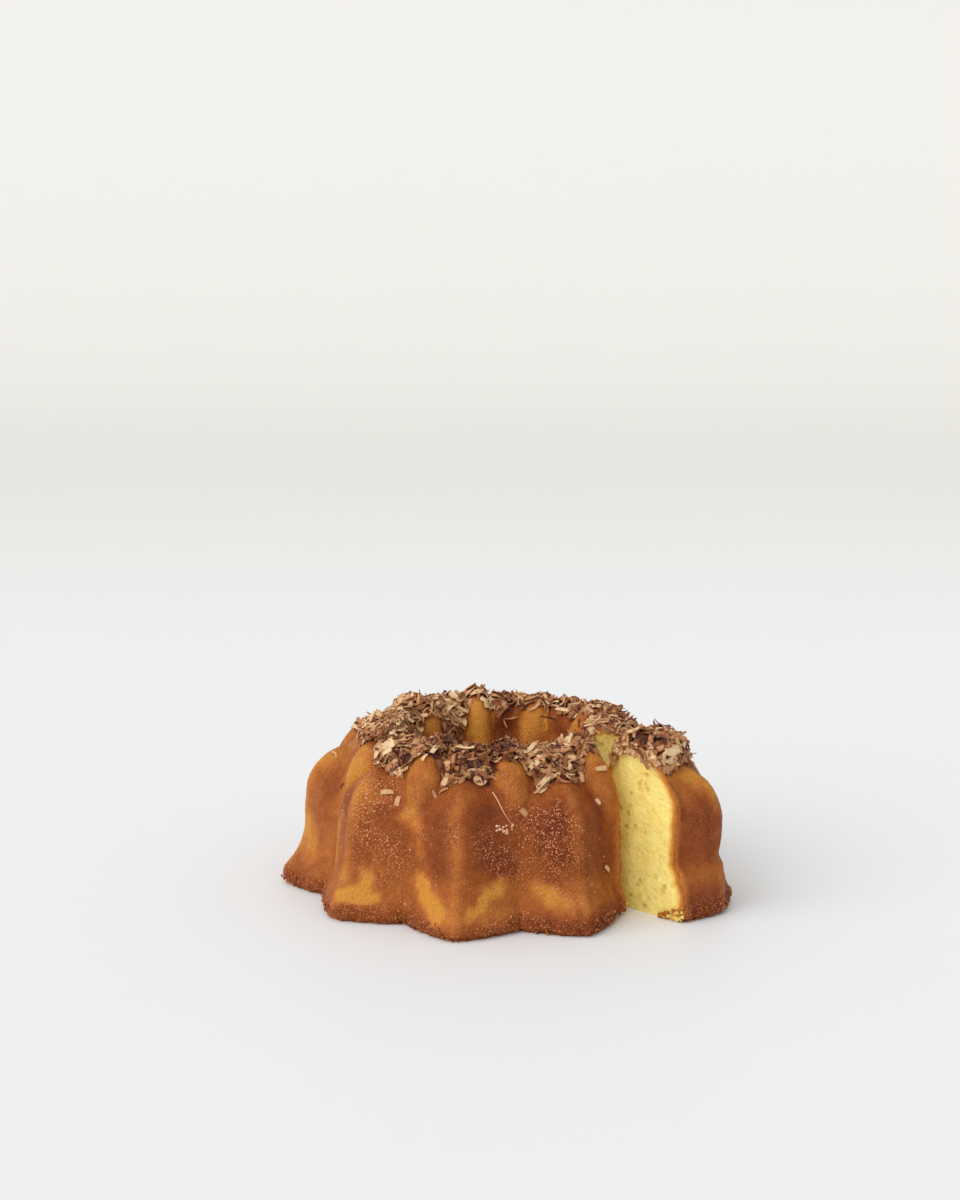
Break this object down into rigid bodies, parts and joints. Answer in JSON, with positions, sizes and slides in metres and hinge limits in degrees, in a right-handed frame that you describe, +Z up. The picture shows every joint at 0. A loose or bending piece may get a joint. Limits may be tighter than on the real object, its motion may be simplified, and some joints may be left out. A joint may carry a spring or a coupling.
{
  "type": "bundt cake with a slice drawn out",
  "caption": "Fluted ring cake with toasted coconut on its crest, one wedge cut and drawn part of the way out, resting on its flat base.",
  "frame": {"origin": "on the table plane, at the middle of the footprint of the ring and its drawn slice together; the ring's own axis stands 4.5 mm towards -X and 0.1 mm towards -Y of it", "axes": "+Z up along the ring's axis, -Y towards the viewer in front, +X to the viewer's right, the side where the slice is drawn out"},
  "size_m": [0.2395, 0.2293, 0.0942],
  "materials": {
    "baked_crust": "moist satin honey-brown baked crust",
    "cake_crumb": "matt open yellow crumb",
    "toasted_coconut": "dry toasted strips, cream to dark brown"
  },
  "bodies": {
    "root": {"cake_ring": "baked_crust", "cake_slice": "cake_crumb"}
  },
  "joints": []
}
